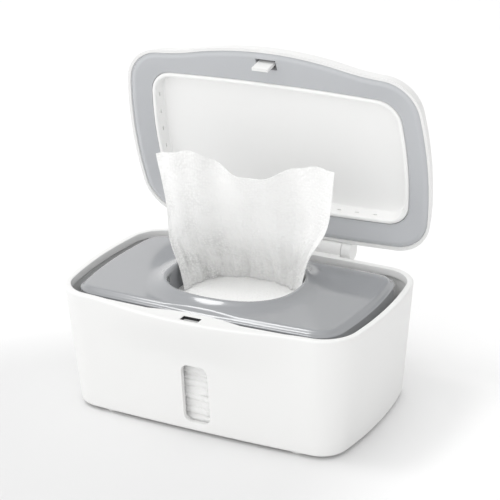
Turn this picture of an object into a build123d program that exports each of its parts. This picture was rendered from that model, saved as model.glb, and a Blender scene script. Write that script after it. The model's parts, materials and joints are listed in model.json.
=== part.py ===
from build123d import *
from math import atan2, cos, hypot, pi, radians, sin, sqrt, tan
import os

# Wipes dispenser: a tub with a sprung flip lid, a weighted plate on the wipes and a press button.
# Millimetres, X to the right, Y to the back, Z up.
# All is drawn about the middle of the tub, and the lid is drawn shut and turned open on its hinge.
# Then all moves forward, so that the origin is under the middle of the outline with the lid open.
origin_back = 7.1

# Tub
rim_half_length = 108.0
rim_half_width = 63.0
rim_height = 83.2
end_draft = 6.0
side_draft = 2.6
side_arc = 1780.0
end_arc = 260.0
rim_corner = 26.0
foot_corner = 18.0
foot_height = 2.0
wall = 3.0
floor_thickness = 2.6
rim_width = 4.2
lip_depth = 6.0
bottom_round = 2.0
rim_round = 1.2
front_swell = 7.5
swell_depth = 34.0
swell_turn = 0.68
swell_steps = 8

# Latch land inside the front of the rim
land_thickness = 2.4
land_drop = 0.8
land_half_length = 34.0
land_bulge = 4.6
land_depth = 16.0
land_wall = 2.0
slot_length = 12.6
slot_width = 6.4
slot_inset = 5.0
pocket_half_length = 13.0
pocket_depth = 12.0
keeper_thickness = 1.4
keeper_height = 7.0
keeper_gap = 0.3

# Viewing window
window_width = 18.6
window_margin = 4.5
window_drop = 0.1
window_corner = 5.0
window_recess = 1.3
pane_thickness = 1.5
window_flange = 2.6
flange_thickness = 1.0
window_gap = 0.15

# Feet
foot_from_end = 40.5
foot_from_side = 11.5
foot_diameter = 8.0
foot_seat = 1.2

# Hinge
hinge_gap = 1.2
hinge_rise = 1.8
barrel_radius = 6.0
barrel_half_length = 42.3
knuckle_length = 6.6
knuckle_gap = 0.3
knuckle_cap = 1.2
barrel_clearance = 0.6
pin_diameter = 3.0
pin_clearance = 0.05
spring_bore = 9.4
spring_bore_half = 30.0
spring_wire = 1.0
spring_turns = 10
spring_pitch = 2.4
spring_running_gap = 0.15
bracket_height = 15.0
bracket_screw_gap = 0.4
screw_x = 26.0
screw_diameter = 3.0
screw_head = 5.6
screw_head_height = 1.8
screw_length = 6.0
screw_seat = 0.2
lid_open = 80.0

# Lid
lid_overhang = 1.6
lid_gap = 0.4
lid_height = 19.0
lid_draft = 16.0
lid_wall = 2.0
lid_round = 13.0
lid_crown = 3400.0

# Lid gasket
gasket_inset = 2.6
gasket_lift = 0.3
gasket_band = 3.0
gasket_rise = 3.4
gasket_thickness = 2.2

# Lid liner
liner_from_end = 15.4
liner_from_side = 16.2
liner_corner = 17.0
liner_gap = 0.4
liner_bead = 3.0
bead_drop = 0.9
bead_height = 3.4
liner_depth = 8.4
liner_wall = 1.6
liner_slope = 1.4
tick_length = 3.0
tick_height = 0.9
tick_depth = 0.6
tick_spacing = 13.0

# Press button
button_length = 34.0
button_width = 15.0
button_gap = 0.65
button_thickness = 2.4
button_swing = 5.0
pad_behind_pivot = 5.0
pivot_behind_hook = 5.2
pivot_drop = 7.0
hub_radius = 2.4
hub_half_length = 6.0
button_pin_diameter = 2.4
ear_thickness = 2.6
ear_gap = 0.3
ear_half_depth = 3.0
spring_room = 4.0
button_spring_wire = 0.6
button_spring_turns = 5
hook_length = 11.4
hook_thickness = 2.0
hook_reach = 8.0
hook_barb = 1.0
hook_slot_gap = 1.5

# Weighted plate
plate_end_gap = 11.5
plate_side_gap = 9.2
plate_back = 1.2
plate_left = 1.5
plate_corner = 16.0
plate_drop = 2.8
plate_bevel = 5.0
plate_bevel_height = 2.8
plate_wall = 2.0
plate_depth = 12.0
hole_half_length = 44.0
hole_side_gap = 8.6
hole_corner = 34.0
hole_arc = 70.0
ring_width = 8.3
ring_height = 4.8
ring_saddle = 800.0
ring_round = 1.3
ring_wall = 3.0
sleeve_wall = 2.0
tray_thickness = 1.8
weight_thickness = 3.0
weight_from_ring = 2.0
weight_end_gap = 8.7
weight_side_gap = 13.4
plate_screw_inset = 10.0
plate_screw_diameter = 2.5
plate_screw_head = 5.0
screw_grip = 5.0
screw_head_thickness = 1.2

# Wipes
stack_end_gap = 19.0
stack_side_gap = 14.5
stack_layers = 12
stack_gap = 0.3
fold_round = 2.4
wipe_thickness = 0.8
wipe_foot_half = 35.0
wipe_spread = 31.0
wipe_height = 100.0
wipe_foot_gap = 3.2
wipe_lean = 22.0
wipe_arch = 31.0
wipe_fold = 5.0
wipe_waves = 1.6
wipe_edge = [(-75, 86), (-64, 88), (-48, 93), (-13, 82), (27, 92), (54, 97), (66, 96), (75, 92)]

on_base = (Align.CENTER, Align.CENTER, Align.MIN)
floor_z = foot_height + floor_thickness
foot_x = rim_half_length - foot_from_end
foot_y = rim_half_width - foot_from_side
window_low = foot_height + bottom_round + window_margin
window_high = rim_height - swell_depth - window_drop
hinge_height = rim_height + hinge_rise
hinge_y = rim_half_width + hinge_gap + barrel_radius
hinge_axis = Axis((0, hinge_y, hinge_height), (1, 0, 0))
lid_low = rim_height + lid_gap
lid_top = rim_height + lid_height
gasket_low = rim_height + gasket_lift
gasket_inner = gasket_low + gasket_rise
liner_low = gasket_inner - bead_drop
liner_floor = liner_low + liner_depth
liner_half_length = rim_half_length - liner_from_end
liner_half_width = rim_half_width - liner_from_side
plate_half_length = rim_half_length - plate_end_gap
plate_half_width = rim_half_width - plate_side_gap
hole_half_width = liner_half_width - hole_side_gap
weight_start = hole_half_length + ring_width + weight_from_ring
weight_end = plate_half_length - plate_wall - weight_end_gap
weight_half_width = plate_half_width - plate_wall - weight_side_gap
stack_half_length = rim_half_length - stack_end_gap
stack_half_width = rim_half_width - stack_side_gap
wipe_foot_y = hole_half_width - wipe_foot_gap
plate_edge_z = rim_height - plate_drop
plate_top = plate_edge_z + plate_bevel_height
plate_low = plate_top - plate_depth
tray_low = plate_low - tray_thickness
stack_top = tray_low - stack_gap
slot_y = rim_half_width + front_swell - slot_inset - slot_width / 2
pivot_z = lid_top - pivot_drop
button_y = slot_y - pivot_behind_hook
pad_y = button_y - pad_behind_pivot
button_sink = (button_width / 2 + pad_behind_pivot) * sin(radians(button_swing))
ear_from = hub_half_length + ear_gap + spring_room
ear_to = ear_from + ear_thickness


def arc_outline(a, b, r, z, swell=0.0, side=None, end=None):
    """Closed outline of ten arcs: long sides and ends bow out, corners of radius r touch both."""
    side = side or side_arc
    end = end or end_arc
    side_centre = (0.0, b - side)
    end_centre = (a - end, 0.0)
    reach_side = side - r
    reach_end = end - r
    gap_x = end_centre[0] - side_centre[0]
    gap_y = end_centre[1] - side_centre[1]
    gap = hypot(gap_x, gap_y)
    along = (gap * gap + reach_side**2 - reach_end**2) / (2 * gap)
    across = sqrt(reach_side**2 - along**2)
    ux, uy = gap_x / gap, gap_y / gap
    cx = side_centre[0] + ux * along + uy * across
    cy = side_centre[1] + uy * along - ux * across
    start = atan2(cy - side_centre[1], cx - side_centre[0])
    finish = atan2(cy - end_centre[1], cx - end_centre[0])
    middle = (start + finish) / 2
    touch = [(cx + r * cos(t), cy + r * sin(t)) for t in (start, middle, finish)]
    side_x = touch[0][0]
    turn_x = side_x * swell_turn

    def front(x):
        bow = side - sqrt(side * side - x * x)
        if abs(x) <= turn_x:
            share = 1 - x * x / (turn_x * side_x)
        else:
            share = (side_x - abs(x)) ** 2 / ((side_x - turn_x) * side_x)
        return (x, -(b - bow + swell * share))

    def arc(p, q, s):
        return ThreePointArc((*p, z), (*q, z), (*s, z))

    def flip(points, sx, sy):
        return [(sx * x, sy * y) for x, y in points]

    rear_right = touch
    rear_left = flip(touch, -1, 1)[::-1]
    front_left = flip(touch, -1, -1)
    front_right = flip(touch, 1, -1)[::-1]
    half = (side_x + turn_x) / 2
    edges = [
        arc(rear_left[2], (0, b), rear_right[0]),
        arc(*rear_right),
        arc(rear_right[2], (a, 0), front_right[0]),
        arc(*front_right),
        arc(front(side_x), front(half), front(turn_x)),
        arc(front(turn_x), front(0), front(-turn_x)),
        arc(front(-turn_x), front(-half), front(-side_x)),
        arc(*front_left),
        arc(front_left[2], (-a, 0), rear_left[0]),
        arc(*rear_left),
    ]
    return Wire(edges)


def between(sections, ruled=True):
    return Solid.make_loft(sections, ruled)


def slab(outline_at, low, high):
    return between([outline_at(low), outline_at(high)])


def cylinder_x(radius, x_from, x_to, y, z):
    turned = Cylinder(radius, x_to - x_from, rotation=(0, 90, 0))
    return Pos((x_from + x_to) / 2, y, z) * turned


def cylinder_y(radius, y_from, y_to, x, z):
    turned = Cylinder(radius, y_to - y_from, rotation=(90, 0, 0))
    return Pos(x, (y_from + y_to) / 2, z) * turned


def block(x, y, z):
    """Box from three (low, high) pairs."""
    middle = Pos((x[0] + x[1]) / 2, (y[0] + y[1]) / 2, (z[0] + z[1]) / 2)
    return middle * Box(x[1] - x[0], y[1] - y[0], z[1] - z[0])


def coil(radius, wire, pitch, turns, x_from, y, z):
    """Helical tube along X."""
    path = Helix(pitch, pitch * turns, radius, (x_from, y, z), (1, 0, 0))
    profile = Plane(path @ 0, z_dir=path % 0) * Circle(wire / 2)
    return sweep(profile, path=path)


# Tub

def tub_section(z, inset=0.0, swell=0.0):
    below = rim_height - z
    a = rim_half_length - below * tan(radians(end_draft)) - inset
    b = rim_half_width - below * tan(radians(side_draft)) - inset
    height = rim_height - foot_height
    r = rim_corner - (rim_corner - foot_corner) * below / height - inset
    return arc_outline(a, b, r, z, swell)


def swell_at(z):
    share = 1 - (rim_height - z) / swell_depth
    if share <= 0:
        return 0.0
    return front_swell * share * share * (3 - 2 * share)


def tub_outside():
    start = rim_height - swell_depth
    levels = [foot_height]
    levels += [start + swell_depth * step / swell_steps for step in range(swell_steps + 1)]
    skin = between([tub_section(z, 0.0, swell_at(z)) for z in levels])
    bottom = skin.edges().group_by(Axis.Z)[0]
    skin = fillet(bottom, bottom_round)
    top = skin.edges().group_by(Axis.Z)[-1]
    return fillet(top, rim_round)


def tub_hollow(inset_low, inset_high, lip):
    """Room inside the walls, with the thicker lip at the top."""
    low = between([tub_section(floor_z, inset_low), tub_section(rim_height - lip, inset_low)])
    slope = inset_high - inset_low
    step = between([tub_section(rim_height - lip, inset_low),
                    tub_section(rim_height - lip + slope, inset_high)])
    high = between([tub_section(rim_height - lip + slope, inset_high),
                    tub_section(rim_height + 1, inset_high)])
    return low + step + high


def land_cut():
    """Room above the land, so that the rim stands a little higher all along the swell."""
    def inner(z):
        return tub_section(z, rim_width, front_swell)
    return slab(inner, rim_height - land_drop, rim_height + 1)


def latch_land():
    """Lens shaped block that fills the swell behind the rim and bulges a little inwards."""
    inner = rim_half_width - rim_width
    low = rim_height - land_depth
    high = rim_height - land_drop
    bulge = ThreePointArc((-land_half_length, -inner, low), (0, land_bulge - inner, low),
                          (land_half_length, -inner, low))
    back = Polyline((land_half_length, -inner, low), (land_half_length, -inner - 8, low),
                    (-land_half_length, -inner - 8, low), (-land_half_length, -inner, low))
    return extrude(make_face([bulge, back]), high - low, dir=(0, 0, 1))


def pocket_back():
    return land_bulge - rim_half_width + rim_width - land_wall


def latch_room():
    """Pocket under the land and the slot that the hook comes in by."""
    top = rim_height - land_drop - land_thickness
    y_front = -(rim_half_width + front_swell - rim_width)
    y_back = pocket_back()
    pocket = block((-pocket_half_length, pocket_half_length), (y_front, y_back),
                   (top - pocket_depth, top))
    half_slot = slot_length / 2
    slot = block((-half_slot, half_slot), (-slot_y - slot_width / 2, -slot_y + slot_width / 2),
                 (top - 1, rim_height + 1))
    return pocket + slot


def window_prism(grow, y_from, y_to):
    half = window_width / 2 + grow
    body = block((-half, half), (y_from, y_to), (window_low - grow, window_high + grow))
    return fillet(body.edges().filter_by(Axis.Y), window_corner + grow)


def bracket_screw_places():
    z = rim_height - lip_depth - screw_head / 2 - bracket_screw_gap
    return [(x, z) for x in (-screw_x, screw_x)]


def rear_inner_y(x, z):
    bow = side_arc - sqrt(side_arc**2 - x * x)
    return rim_half_width - (rim_height - z) * tan(radians(side_draft)) - bow - wall


def base_tub():
    outside = tub_outside()
    tub = outside - tub_hollow(wall, rim_width, lip_depth)
    tub = tub + (latch_land() & outside) - land_cut() - latch_room()
    tub = tub - window_prism(0, -rim_half_width - 5, -rim_half_width / 2)
    for sx in (-1, 1):
        for sy in (-1, 1):
            seat = Cylinder(foot_diameter / 2, foot_seat * 2)
            tub = tub - Pos(sx * foot_x, sy * foot_y, foot_height) * seat
    for x, z in bracket_screw_places():
        y = rear_inner_y(x, z)
        tub = tub - cylinder_y(screw_diameter / 2, y - 5, y + 10, x, z)
    return tub


def viewing_window():
    def layer(inset_out, inset_in):
        low = foot_height + 0.5
        high = rim_height - lip_depth - 1
        outer = slab(lambda z: tub_section(z, inset_out), low, high)
        return outer - slab(lambda z: tub_section(z, inset_in), low - 1, high + 1)

    near = -rim_half_width - 5
    far = -rim_half_width / 2
    pane = window_prism(-window_gap, near, far) & layer(window_recess, window_recess + pane_thickness)
    skirt = window_prism(-window_gap, near, far) & layer(window_recess + 0.5, wall + flange_thickness)
    flange = window_prism(window_flange, near, far) & layer(wall, wall + flange_thickness)
    return pane + skirt + flange


def latch_keeper():
    """Small bar on the back wall of the latch pocket, which the hook's barb passes under."""
    top = rim_height - land_drop - land_thickness
    y_back = pocket_back()
    y_front = -slot_y + hook_thickness / 2 + hook_barb + keeper_gap
    half = pocket_half_length - 2
    bar = block((-half, half), (y_front, y_back), (top - keeper_thickness, top))
    leg = block((-half, half), (y_back - keeper_thickness, y_back), (top - keeper_height, top))
    return bar + leg


def foot(sx, sy):
    pad = Cylinder(foot_diameter / 2, foot_height + foot_seat, align=on_base)
    pad = fillet(pad.edges().group_by(Axis.Z)[0], 0.8)
    return Pos(sx * foot_x, sy * foot_y, 0) * pad


# Hinge on the tub

def hinge_barrel():
    half = barrel_half_length
    low = hinge_height - bracket_height
    wall_y = rim_half_width - 6
    profile = Polyline((0, wall_y, low), (0, rim_half_width + 2, low),
                       (0, hinge_y + barrel_radius - 0.6, hinge_height - 2),
                       (0, hinge_y, hinge_height), (0, hinge_y - barrel_radius, rim_height - 0.4),
                       (0, wall_y, rim_height - 1), close=True)
    web = extrude(make_face(profile), half, dir=(1, 0, 0), both=True)
    body = web + cylinder_x(barrel_radius, -half, half, hinge_y, hinge_height)
    body = body - slab(lambda z: tub_section(z), low - 5, rim_height + 5)
    pin_room = pin_diameter / 2 + pin_clearance
    body = body - cylinder_x(pin_room, -half - 1, half + 1, hinge_y, hinge_height)
    body = body - cylinder_x(spring_bore / 2, -spring_bore_half, spring_bore_half, hinge_y, hinge_height)
    for x, z in bracket_screw_places():
        y = rear_inner_y(x, z)
        body = body - cylinder_y(screw_diameter / 2, y, y + screw_length, x, z)
    return body


def hinge_pin():
    half = barrel_half_length + knuckle_gap + knuckle_length - knuckle_cap
    return cylinder_x(pin_diameter / 2, -half, half, hinge_y, hinge_height)


def lid_spring():
    radius = spring_bore / 2 - spring_running_gap - spring_wire / 2
    start = -spring_pitch * spring_turns / 2
    return coil(radius, spring_wire, spring_pitch, spring_turns, start, hinge_y, hinge_height)


def hinge_screws():
    screws = []
    for x, z in bracket_screw_places():
        y = rear_inner_y(x, z) - screw_seat
        shank = cylinder_y(screw_diameter / 2, y, y + screw_length, x, z)
        head = cylinder_y(screw_head / 2, y - screw_head_height, y, x, z)
        screws.append(shank + head)
    return Compound(screws)


# Lid, drawn shut

def lid_section(z, inset=0.0):
    rise = (z - lid_low) * tan(radians(lid_draft))
    a = rim_half_length + lid_overhang - rise - inset
    b = rim_half_width + lid_overhang - rise - inset
    return arc_outline(a, b, rim_corner + lid_overhang - inset, z, front_swell)


def lid_form(inset, low):
    top = lid_top - inset
    form = between([lid_section(low, inset), lid_section(lid_top + 2, inset)])
    crown = Pos(0, 0, top - lid_crown) * Cylinder(lid_crown, 4 * rim_half_width, rotation=(90, 0, 0))
    form = form & crown
    rounding = [e for e in form.edges() if e.center().Z > low + 3 and abs(e.tangent_at(0.5).Z) < 0.5]
    return fillet(rounding, lid_round - inset)


def button_prism(grow, low, high):
    """Upright bar with round ends, the outline of the press pad."""
    length = button_length + 2 * grow
    width = button_width + 2 * grow
    shape = extrude(SlotOverall(length, width), high - low)
    return Pos(0, -pad_y, low) * shape


def lid_shell():
    outside = lid_form(0, lid_low)
    shell = outside - lid_form(lid_wall, lid_low - 1)
    half = barrel_half_length + knuckle_gap
    for side in (-1, 1):
        x_from, x_to = sorted((side * half, side * (half + knuckle_length)))
        knuckle = cylinder_x(barrel_radius, x_from, x_to, hinge_y, hinge_height)
        web = block((x_from, x_to), (rim_half_width + lid_overhang - 2, hinge_y),
                    (lid_low + 0.5, hinge_height + barrel_radius))
        shell = shell + knuckle + web
        ear = block(sorted((side * ear_from, side * ear_to)),
                    (-rim_half_width - front_swell, -button_y + ear_half_depth),
                    (pivot_z - ear_half_depth, lid_top))
        shell = shell + (ear & outside)
    shell = shell - cylinder_x(barrel_radius + barrel_clearance, -half, half, hinge_y, hinge_height)
    pin_room = half + knuckle_length - knuckle_cap
    shell = shell - cylinder_x(pin_diameter / 2, -pin_room, pin_room, hinge_y, hinge_height)
    shell = shell - button_prism(button_gap, lid_top - button_thickness - button_sink - 0.5, lid_top + 5)
    return shell - cylinder_x(button_pin_diameter / 2, -ear_to - 1, ear_to + 1, -button_y, pivot_z)


def lid_gasket():
    def outer(z, inset=gasket_inset):
        return lid_section(z, inset)

    def inner(z, grow=liner_gap):
        return liner_outline(z, -grow)

    top = gasket_inner + gasket_thickness
    body = slab(outer, gasket_low, top)
    dish = between([outer(gasket_low, gasket_inset + gasket_band), inner(gasket_inner)])
    body = body - dish - slab(inner, gasket_inner - 0.5, top + 1)
    half_x = hook_length / 2 + hook_slot_gap
    y = -slot_y
    hole = block((-half_x, half_x), (y - slot_width / 2, y + slot_width / 2 + 1), (gasket_low - 1, top + 1))
    return body - hole


def liner_outline(z, inset=0.0):
    return arc_outline(liner_half_length - inset, liner_half_width - inset, liner_corner - inset, z)


def lid_liner():
    ledge = liner_low + bead_height
    top = liner_floor + liner_wall
    inner = liner_bead
    outer = liner_bead - liner_wall
    body = slab(liner_outline, liner_low, ledge)
    body = body + between([liner_outline(ledge, outer), liner_outline(top, outer + liner_slope)])
    room = between([liner_outline(liner_low - 1, inner), liner_outline(liner_low, inner)])
    room = room + between([liner_outline(liner_low, inner),
                           liner_outline(liner_floor, inner + liner_slope)])
    body = body - room
    z = liner_floor - liner_depth / 2
    wall_share = liner_slope / 2
    x_wall = liner_half_length - inner - wall_share
    y_wall = liner_half_width - inner - wall_share
    for sign in (-1, 1):
        for step in (-2, -1, 0, 1, 2):
            y = step * tick_spacing
            tick = Box(tick_depth * 2, tick_length, tick_height)
            bow = end_arc - sqrt(end_arc**2 - y * y)
            body = body - Pos(sign * (x_wall - bow), y, z) * tick
        for step in range(-5, 6):
            x = step * tick_spacing
            tick = Box(tick_length, tick_depth * 2, tick_height)
            bow = side_arc - sqrt(side_arc**2 - x * x)
            body = body - Pos(x, sign * (y_wall - bow), z) * tick
    return body


# Press button in the lid, drawn shut

def lid_button():
    skin = lid_form(0, lid_low)
    pad = button_prism(0, pivot_z, lid_top + 5) & skin
    pad = pad - Pos(0, 0, -button_thickness) * skin
    stem = block((-hub_half_length + 1, hub_half_length - 1), (-button_y - 1.6, -button_y + 1.6),
                 (pivot_z, lid_top - button_thickness / 2))
    hub = cylinder_x(hub_radius, -hub_half_length, hub_half_length, -button_y, pivot_z)
    y_hook = -slot_y
    tip = rim_height - hook_reach
    y_back = y_hook - hook_thickness / 2
    y_face = y_hook + hook_thickness / 2
    leg = block((-hook_length / 2, hook_length / 2), (y_back, y_face), (tip, pivot_z - 1))
    bridge = block((-hub_half_length, hub_half_length), (y_back, -button_y), (pivot_z - 2.4, pivot_z))
    nose = Polyline((0, y_face - 0.5, tip), (0, y_face, tip), (0, y_face + hook_barb, tip + 2.2),
                    (0, y_face + hook_barb, tip + 2.8), (0, y_face - 0.5, tip + 2.8), close=True)
    barb = extrude(make_face(nose), hook_length / 2 - 1, dir=(1, 0, 0), both=True)
    body = pad + stem + hub + bridge + leg + barb
    pin_room = button_pin_diameter / 2 + pin_clearance
    return body - cylinder_x(pin_room, -button_length, button_length, -button_y, pivot_z)


def button_pin():
    return cylinder_x(button_pin_diameter / 2, -ear_to, ear_to, -button_y, pivot_z)


def button_spring():
    radius = button_pin_diameter / 2 + 0.2 + button_spring_wire / 2
    room = spring_room - button_spring_wire
    start = hub_half_length + (spring_room + ear_gap - room) / 2
    pitch = room / button_spring_turns
    return coil(radius, button_spring_wire, pitch, button_spring_turns, start, -button_y, pivot_z)


# Weighted plate

def plate_outline(z, inset=0.0):
    shape = arc_outline(plate_half_length - inset, plate_half_width - inset, plate_corner - inset, z)
    return Pos(0, plate_back, 0) * shape


def hole_outline(z, grow=0.0):
    a = hole_half_length + grow
    b = hole_half_width + grow
    return arc_outline(a, b, hole_corner + grow, z, 0.0, hole_arc + grow, hole_arc + grow)


def saddle(top):
    """Room under a cylinder along Y, so that the ring is lower at its left and right."""
    return Pos(0, 0, top - ring_saddle) * Cylinder(ring_saddle, 300, rotation=(90, 0, 0))


def plate_cover():
    crest = plate_top + ring_height
    plate = slab(plate_outline, plate_low, plate_edge_z)
    plate = plate + between([plate_outline(plate_edge_z), plate_outline(plate_top, plate_bevel)])
    room = slab(lambda z: plate_outline(z, plate_wall), plate_low - 1, plate_edge_z - 1)
    room = room + between([plate_outline(plate_edge_z - 1, plate_wall),
                           plate_outline(plate_top - plate_wall, plate_wall + plate_bevel - 1)])
    plate = plate - room
    ring = between([hole_outline(plate_top - plate_wall, ring_width), hole_outline(crest + 1, ring_wall)])
    ring = ring & saddle(crest)
    body = plate + ring + slab(lambda z: hole_outline(z, sleeve_wall), plate_low, plate_top)
    for x, y in plate_screw_places():
        boss = Cylinder(plate_screw_head / 2, plate_top - 1 - plate_low, align=on_base)
        body = body + Pos(x, y, plate_low) * boss
        thread = Cylinder(plate_screw_diameter / 2, screw_grip + 1, align=on_base)
        body = body - Pos(x, y, plate_low - 1) * thread
    body = body - slab(hole_outline, plate_low - 1, crest + 5)
    crest_edges = [e for e in body.edges() if e.center().Z > crest - ring_height / 2]
    return fillet(crest_edges, ring_round)


def plate_tray():
    tray = slab(lambda z: plate_outline(z, plate_wall), tray_low, plate_low)
    tray = tray - slab(hole_outline, tray_low - 1, plate_low + 1)
    for x, y in plate_screw_places():
        tray = tray - Pos(x, y, tray_low) * Cylinder(plate_screw_diameter / 2, 4 * tray_thickness)
        tray = tray - Pos(x, y, tray_low) * Cylinder(plate_screw_head / 2, 2 * screw_head_thickness)
    return tray


def plate_screw_places():
    x = plate_half_length - plate_wall - plate_screw_inset
    y = plate_half_width - plate_wall - plate_screw_inset
    return [(sx * x, plate_back + sy * y) for sx in (-1, 1) for sy in (-1, 1)]


def weight(side):
    bar = block(sorted((side * weight_start, side * weight_end)),
                (plate_back - weight_half_width, plate_back + weight_half_width),
                (plate_low, plate_low + weight_thickness))
    return fillet(bar.edges().filter_by(Axis.Z), 6)


def plate_screws():
    screws = []
    for x, y in plate_screw_places():
        low = tray_low
        head = Cylinder(plate_screw_head / 2, screw_head_thickness, align=on_base)
        shank = Cylinder(plate_screw_diameter / 2, tray_thickness + screw_grip, align=on_base)
        screws.append(Pos(x, y, low) * (head + shank))
    return Compound(screws)


# Wipes

def wipe_stack():
    pitch = (stack_top - floor_z) / stack_layers
    layer = Box(2 * stack_half_length, 2 * stack_half_width, pitch)
    layer = fillet(layer.edges().filter_by(Axis.Z), 5)
    layer = fillet(layer.edges().group_by(Axis.Z)[0] + layer.edges().group_by(Axis.Z)[-1], fold_round)
    body = None
    for step in range(stack_layers):
        placed = Pos(0, 0, floor_z + pitch * (step + 0.5)) * layer
        body = placed if body is None else body + placed
    return body


def wipe_section(share):
    """Thin wavy band across the sheet, which curls round the hole's back below and opens above."""
    z = stack_top + stack_gap + wipe_height * share
    half = wipe_foot_half + wipe_spread * sin(pi / 2 * share) ** 1.4
    middle_y = wipe_foot_y - wipe_lean * share
    arch = wipe_arch * cos(pi / 2 * share)

    def point(u, side):
        y = middle_y - arch * u * u + wipe_fold * share * sin(2 * pi * wipe_waves * u)
        return (half * u, y + side * wipe_thickness / 2, z)

    steps = [k / 8 - 1 for k in range(17)]
    front = Spline([point(u, -1) for u in steps])
    back = Spline([point(u, 1) for u in reversed(steps)])
    return Wire([front, Line(front @ 1, back @ 0), back, Line(back @ 1, front @ 0)])


def top_wipe():
    """Sheet pulled up through the plate, its top edge cut to an uneven line."""
    sheet = between([wipe_section(step / 5) for step in range(6)], ruled=False)
    low = stack_top
    top = Spline([(x, 0, low + height) for x, height in wipe_edge])
    sides = Polyline(top @ 1, (wipe_edge[-1][0], 0, low - 5), (wipe_edge[0][0], 0, low - 5), top @ 0)
    mask = extrude(make_face([top, sides]), 3 * wipe_foot_y, dir=(0, 1, 0), both=True)
    return sheet & mask


def opened(shape):
    return shape.rotate(hinge_axis, -lid_open)


def laid(shape):
    """The loose plate lies a little left of the middle."""
    return Pos(-plate_left, 0, 0) * shape


def main():
    os.makedirs("parts", exist_ok=True)
    parts = {
        "base_tub": base_tub(),
        "viewing_window": viewing_window(),
        "latch_keeper": latch_keeper(),
        "hinge_barrel": hinge_barrel(),
        "hinge_pin": hinge_pin(),
        "lid_spring": lid_spring(),
        "hinge_screws": hinge_screws(),
        "lid_shell": opened(lid_shell()),
        "lid_gasket": opened(lid_gasket()),
        "lid_liner": opened(lid_liner()),
        "lid_button": opened(lid_button()),
        "button_pin": opened(button_pin()),
        "button_spring": opened(button_spring()),
        "plate_cover": laid(plate_cover()),
        "plate_tray": laid(plate_tray()),
        "left_weight": laid(weight(-1)),
        "right_weight": laid(weight(1)),
        "plate_screws": laid(plate_screws()),
        "wipe_stack": wipe_stack(),
        "top_wipe": top_wipe(),
    }
    for name_x, sx in (("left", -1), ("right", 1)):
        for name_y, sy in (("front", -1), ("rear", 1)):
            parts[f"{name_y}_{name_x}_foot"] = foot(sx, sy)
    for name, shape in parts.items():
        export_step(Pos(0, -origin_back, 0) * shape, f"parts/{name}.step")


main()
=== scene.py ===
import bmesh
import bpy
import json
import numpy as np
from mathutils import Matrix


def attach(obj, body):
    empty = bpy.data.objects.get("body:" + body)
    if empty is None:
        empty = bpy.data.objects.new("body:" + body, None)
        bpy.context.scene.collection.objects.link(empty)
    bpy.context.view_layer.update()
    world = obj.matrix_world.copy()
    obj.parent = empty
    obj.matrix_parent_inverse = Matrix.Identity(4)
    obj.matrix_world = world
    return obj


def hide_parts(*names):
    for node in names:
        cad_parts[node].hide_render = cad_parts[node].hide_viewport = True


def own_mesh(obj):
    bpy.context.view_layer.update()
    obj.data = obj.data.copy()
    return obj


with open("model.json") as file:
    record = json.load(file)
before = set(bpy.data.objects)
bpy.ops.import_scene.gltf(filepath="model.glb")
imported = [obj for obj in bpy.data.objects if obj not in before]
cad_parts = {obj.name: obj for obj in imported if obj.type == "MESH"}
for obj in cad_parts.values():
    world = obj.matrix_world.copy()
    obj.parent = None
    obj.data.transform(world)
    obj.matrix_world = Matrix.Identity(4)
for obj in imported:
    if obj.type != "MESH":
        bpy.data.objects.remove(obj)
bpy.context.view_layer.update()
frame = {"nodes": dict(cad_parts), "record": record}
originBack = 7.1  # the tub's middle is this far behind the origin, mm
plateLeft = 1.5  # the loose plate lies this far left, mm
print("frame loaded:", len(frame["nodes"]), "nodes")

# small helpers for nodes, colours and meshes


def addNode(tree, kind, settings={}, links={}, values={}):
    node = tree.nodes.new(kind)
    for key, value in settings.items():
        setattr(node, key, value)
    for key, value in values.items():
        node.inputs[key].default_value = value
    for key, socket in links.items():
        tree.links.new(socket, node.inputs[key])
    return node


def hexColour(text):
    srgb = np.array([int(text[i:i + 2], 16) / 255 for i in (1, 3, 5)])
    linear = np.where(srgb <= 0.04045, srgb / 12.92, ((srgb + 0.055) / 1.055) ** 2.4)
    return (*linear.tolist(), 1.0)


def newMaterial(name, colour, roughness):
    m = bpy.data.materials.new(name)
    m.use_nodes = True
    shader = m.node_tree.nodes["Principled BSDF"]
    shader.inputs["Base Color"].default_value = hexColour(colour)
    shader.inputs["Roughness"].default_value = roughness
    return m, m.node_tree, shader


def gridFaces(rows, cols, loopRows=False, loopCols=True):
    r = np.arange(rows if loopRows else rows - 1)[:, None]
    c = np.arange(cols if loopCols else cols - 1)[None, :]
    nextR = (r + 1) % rows
    nextC = (c + 1) % cols
    quads = [r * cols + c, r * cols + nextC, nextR * cols + nextC, nextR * cols + c]
    return np.stack(np.broadcast_arrays(*quads), -1).reshape(-1, 4)


def linkMesh(name, mesh, sharp):
    # joins doubled points, turns faces outward and shades smooth up to the sharp angle
    bm = bmesh.new()
    bm.from_mesh(mesh)
    bmesh.ops.remove_doubles(bm, verts=bm.verts, dist=2e-6)
    bmesh.ops.recalc_face_normals(bm, faces=bm.faces)
    bm.to_mesh(mesh)
    bm.free()
    mesh.shade_smooth()
    mesh.set_sharp_from_angle(angle=np.radians(sharp))
    o = bpy.data.objects.new(name, mesh)
    bpy.context.scene.collection.objects.link(o)
    return o


def makePiece(name, points, faces, sharp=32):
    # points are in mm about the middle of the tub
    mesh = bpy.data.meshes.new(name)
    placed = (np.reshape(points, (-1, 3)) - [0, originBack, 0]) / 1000
    mesh.from_pydata(placed.tolist(), [], faces.tolist())
    return linkMesh(name, mesh, sharp)


def cutBy(o, cutter):
    change = o.modifiers.new("cut", "BOOLEAN")
    change.object = cutter
    change.solver = "EXACT"
    seen = o.evaluated_get(bpy.context.evaluated_depsgraph_get())
    mesh = bpy.data.meshes.new_from_object(seen)
    o.modifiers.clear()
    o.data = mesh
    bpy.data.objects.remove(cutter)
    mesh.shade_smooth()
    mesh.set_sharp_from_angle(angle=np.radians(32))


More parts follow.
